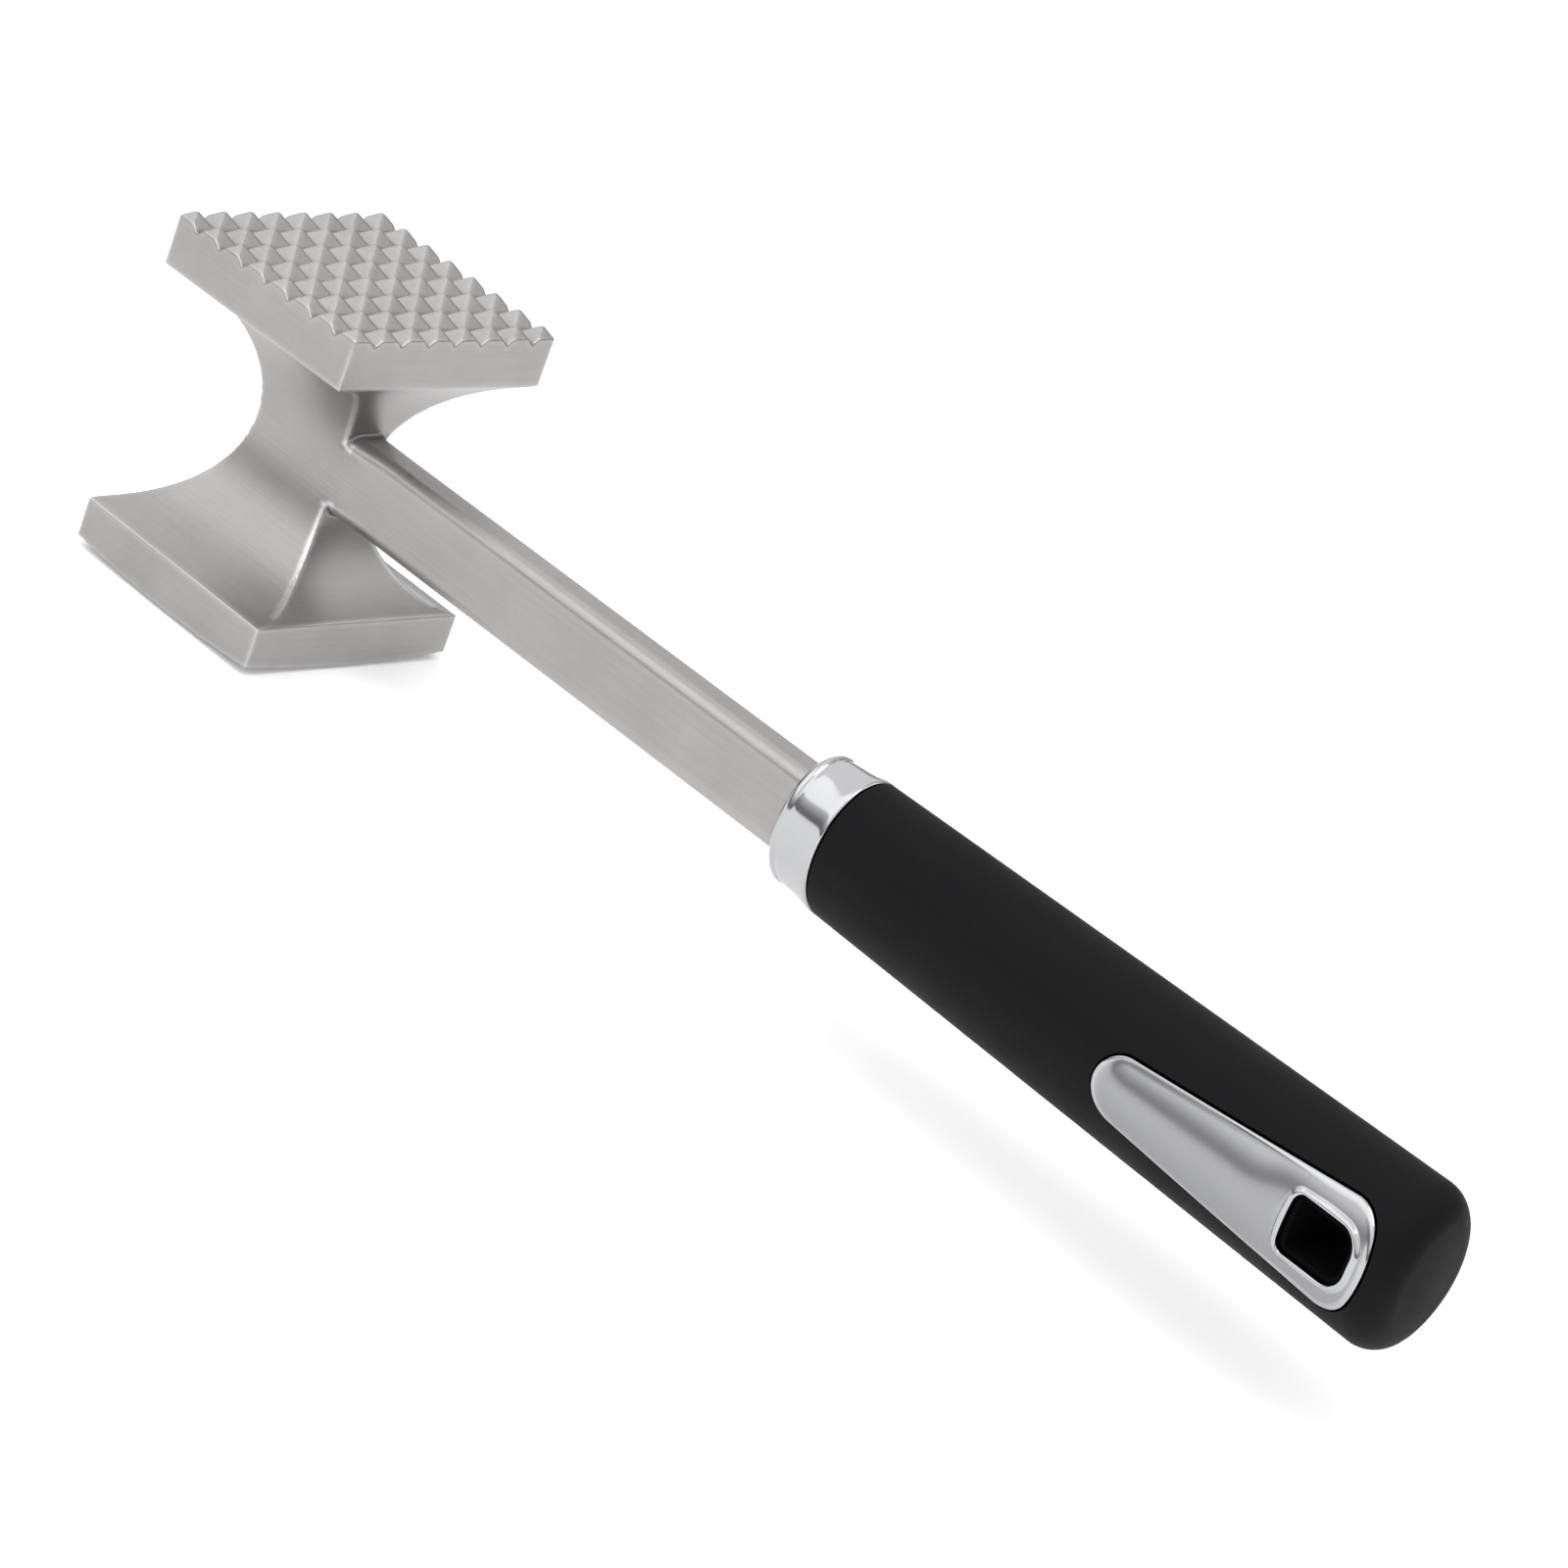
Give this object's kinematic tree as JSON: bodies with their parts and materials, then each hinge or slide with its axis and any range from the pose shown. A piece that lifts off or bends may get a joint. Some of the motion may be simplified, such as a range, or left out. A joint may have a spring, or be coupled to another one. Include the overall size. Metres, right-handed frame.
{
  "type": "meat mallet",
  "caption": "Two-faced meat mallet: a cast head with a toothed and a smooth square face, a bar shank, a plated ferrule and a soft black grip with a plated hanging eye",
  "frame": {"origin": "centre of the smooth striking face", "axes": "+X along the handle from the head to the handle's end, +Z from the smooth face to the toothed face, +Y across the handle"},
  "size_m": [0.2861, 0.0476, 0.0652],
  "materials": {
    "cast_alloy": "satin brushed",
    "bright_plating": "polished",
    "core_plastic": "moulded",
    "soft_grip": "matt soft touch",
    "satin_plating": "satin with polished rim"
  },
  "bodies": {
    "root": {"mallet_head": "cast_alloy", "ferrule": "bright_plating", "handle_core": "core_plastic", "grip_sleeve": "soft_grip", "front_eye_plate": "satin_plating", "rear_eye_plate": "satin_plating"}
  },
  "joints": []
}
